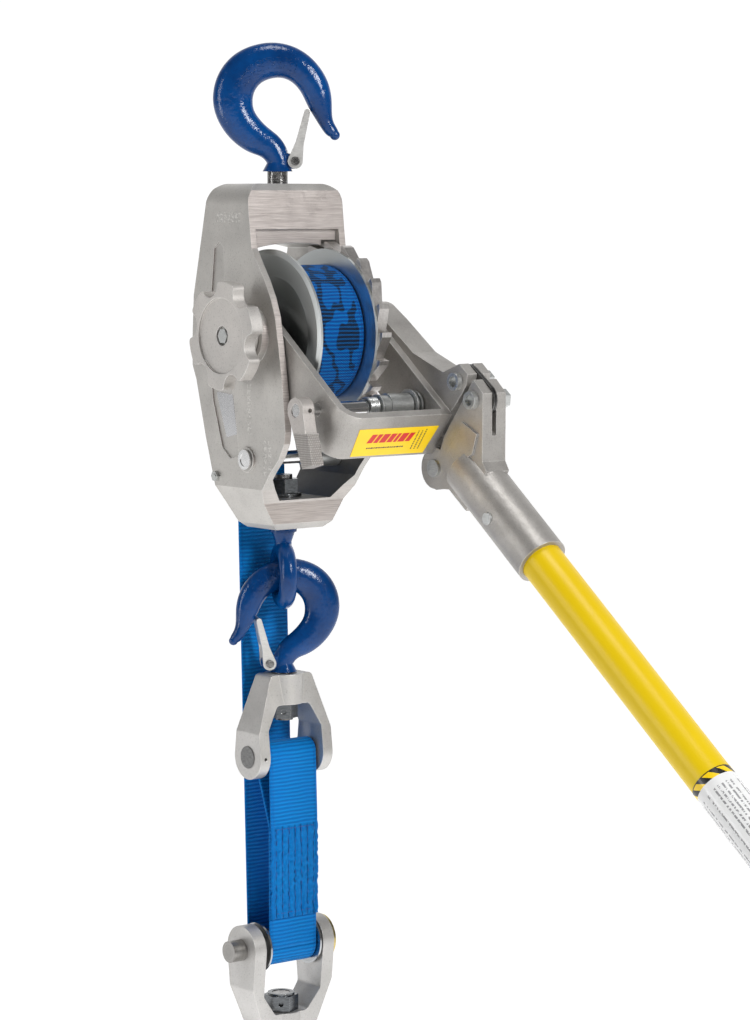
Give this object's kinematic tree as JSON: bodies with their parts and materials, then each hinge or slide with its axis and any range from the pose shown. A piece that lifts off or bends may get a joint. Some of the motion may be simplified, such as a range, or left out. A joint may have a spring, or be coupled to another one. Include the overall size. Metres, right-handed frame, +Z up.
{
  "type": "strap come-along winch",
  "caption": "Hand strap puller: ratchet drum in a cast frame, pivoted lever with yellow tube handle, swivel hooks with latches, and a travelling strap block.",
  "frame": {"origin": "centre of the top hook's bowl, where the winch hangs", "axes": "+X along the drum axle away from the knob, -Y towards the handle's side (front), +Z up along the line of pull"},
  "size_m": [0.165, 0.6405, 0.851],
  "materials": {
    "cast_aluminium": "matte sand-cast, milled front faces",
    "forged_blue": "glossy blue paint over a forged skin",
    "bright_sheet": "bright rolled sheet",
    "ratchet_steel": "machined plate",
    "zinc_steel": "zinc plated",
    "dark_steel": "oiled black",
    "chrome_shaft": "polished",
    "yellow_zinc": "yellow passivated zinc",
    "webbing": "blue woven polyester",
    "yellow_tube": "glossy yellow fibreglass",
    "black_plug": "matte",
    "yellow_label": "printed vinyl",
    "white_label": "printed vinyl",
    "foil": "blank metal foil"
  },
  "bodies": {
    "frame": {"frame_casting": "cast_aluminium", "holding_pawl_shaft": "chrome_shaft", "plate_label": "foil", "plate_screws": "zinc_steel", "holding_spring": "zinc_steel", "anchor_clevis": "cast_aluminium", "anchor_pin": "zinc_steel", "strap_loop": "webbing", "strap_front": "webbing", "strap_rear": "webbing"},
    "top_hook": {"top_hook": "forged_blue", "top_hook_nut": "zinc_steel"},
    "top_latch": {"top_latch": "zinc_steel"},
    "drum": {"drum_axle": "dark_steel", "axle_nut": "zinc_steel", "drum_core": "cast_aluminium", "left_flange": "bright_sheet", "right_flange": "bright_sheet", "ratchet_wheel": "ratchet_steel", "knob": "cast_aluminium", "knob_screw": "zinc_steel", "strap_spool": "webbing"},
    "yoke": {"yoke": "cast_aluminium", "yoke_label": "yellow_label", "link_plates": "dark_steel", "link_bolts": "zinc_steel", "handle_socket": "cast_aluminium", "pivot_pin": "zinc_steel", "handle_tube": "yellow_tube", "socket_rivet": "zinc_steel", "end_cap": "black_plug", "handle_label": "white_label"},
    "drive_pawl": {"drive_shaft": "chrome_shaft", "drive_pawl": "zinc_steel", "drive_cam": "zinc_steel", "drive_washers": "zinc_steel", "drive_spring": "zinc_steel", "reverse_lever": "cast_aluminium"},
    "holding_pawl": {"holding_pawl": "zinc_steel"},
    "bottom_eye": {"bottom_eye": "forged_blue", "eye_nut": "zinc_steel"},
    "load_hook": {"load_hook": "forged_blue", "load_hook_nut": "zinc_steel"},
    "load_latch": {"load_latch": "zinc_steel"},
    "block": {"block_clevis": "cast_aluminium", "block_pin": "zinc_steel", "block_washer": "zinc_steel", "block_clip": "yellow_zinc", "strap_wrap": "webbing"},
    "roller": {"roller": "dark_steel", "roller_discs": "bright_sheet"},
    "block_hook": {"block_hook": "forged_blue", "block_hook_nut": "zinc_steel"},
    "block_latch": {"block_latch": "zinc_steel"}
  },
  "joints": [
    {"name": "top_hook_swivel", "type": "hinge", "parent": "frame", "child": "top_hook", "pos_m": [0, 0, -0.057], "axis": [0, 0, 1], "continuous": true},
    {"name": "top_latch_hinge", "type": "hinge", "parent": "top_hook", "child": "top_latch", "pos_m": [0.01073, -0.00803, -0.0432], "axis": [-0.599, -0.8007, 0], "range_deg": [0, 28], "stiffness_Nm_per_rad": 0.02, "springref_deg": -17.19},
    {"name": "drum_spin", "type": "hinge", "parent": "frame", "child": "drum", "pos_m": [0, -0.026, -0.172], "axis": [1, 0, 0], "range_deg": [-1440, 36]},
    {"name": "handle_swing", "type": "hinge", "parent": "frame", "child": "yoke", "pos_m": [0, -0.026, -0.172], "axis": [1, 0, 0], "range_deg": [-90, 18]},
    {"name": "drive_pawl_turn", "type": "hinge", "parent": "yoke", "child": "drive_pawl", "pos_m": [0, -0.098, -0.224], "axis": [1, 0, 0], "range_deg": [-24, 16], "stiffness_Nm_per_rad": 0.06},
    {"name": "holding_pawl_turn", "type": "hinge", "parent": "frame", "child": "holding_pawl", "pos_m": [0.03, -0.021, -0.265], "axis": [1, 0, 0], "range_deg": [-20, 16], "stiffness_Nm_per_rad": 0.06},
    {"name": "eye_swivel", "type": "hinge", "parent": "frame", "child": "bottom_eye", "pos_m": [0, -0.006, -0.332], "axis": [0, 0, 1], "range_deg": [-9, 50]},
    {"name": "load_hook_swivel", "type": "hinge", "parent": "frame", "child": "load_hook", "pos_m": [0, -0.006, -0.432], "axis": [0, 0, 1], "range_deg": [-9, 50]},
    {"name": "load_latch_hinge", "type": "hinge", "parent": "load_hook", "child": "load_latch", "pos_m": [-0.01093, -0.0009, -0.42316], "axis": [0.4226, 0.9063, 0], "range_deg": [0, 8], "stiffness_Nm_per_rad": 0.02, "springref_deg": -17.19},
    {"name": "block_travel", "type": "slide", "parent": "frame", "child": "block", "axis": [0, 0, 1], "range_m": [-0.6536, 0.0164], "deforming": ["strap_front", "strap_rear"]},
    {"name": "roller_spin", "type": "hinge", "parent": "block", "child": "roller", "pos_m": [0, -0.0015, -0.642], "axis": [1, 0, 0], "range_deg": [-2680, 70]},
    {"name": "block_hook_swivel", "type": "hinge", "parent": "block", "child": "block_hook", "pos_m": [0, -0.0015, -0.718], "axis": [0, 0, 1], "continuous": true},
    {"name": "block_latch_hinge", "type": "hinge", "parent": "block_hook", "child": "block_latch", "pos_m": [-0.00966, 0.00572, -0.72584], "axis": [-0.599, -0.8007, 0], "range_deg": [0, 28], "stiffness_Nm_per_rad": 0.02, "springref_deg": -17.19}
  ],
  "couplings": [
    {"joint": "block_travel", "follows": "drum_spin", "m_per_rad": 0.026},
    {"joint": "roller_spin", "follows": "drum_spin", "ratio": 1.857},
    {"joint": "load_hook_swivel", "follows": "eye_swivel", "ratio": 1}
  ]
}
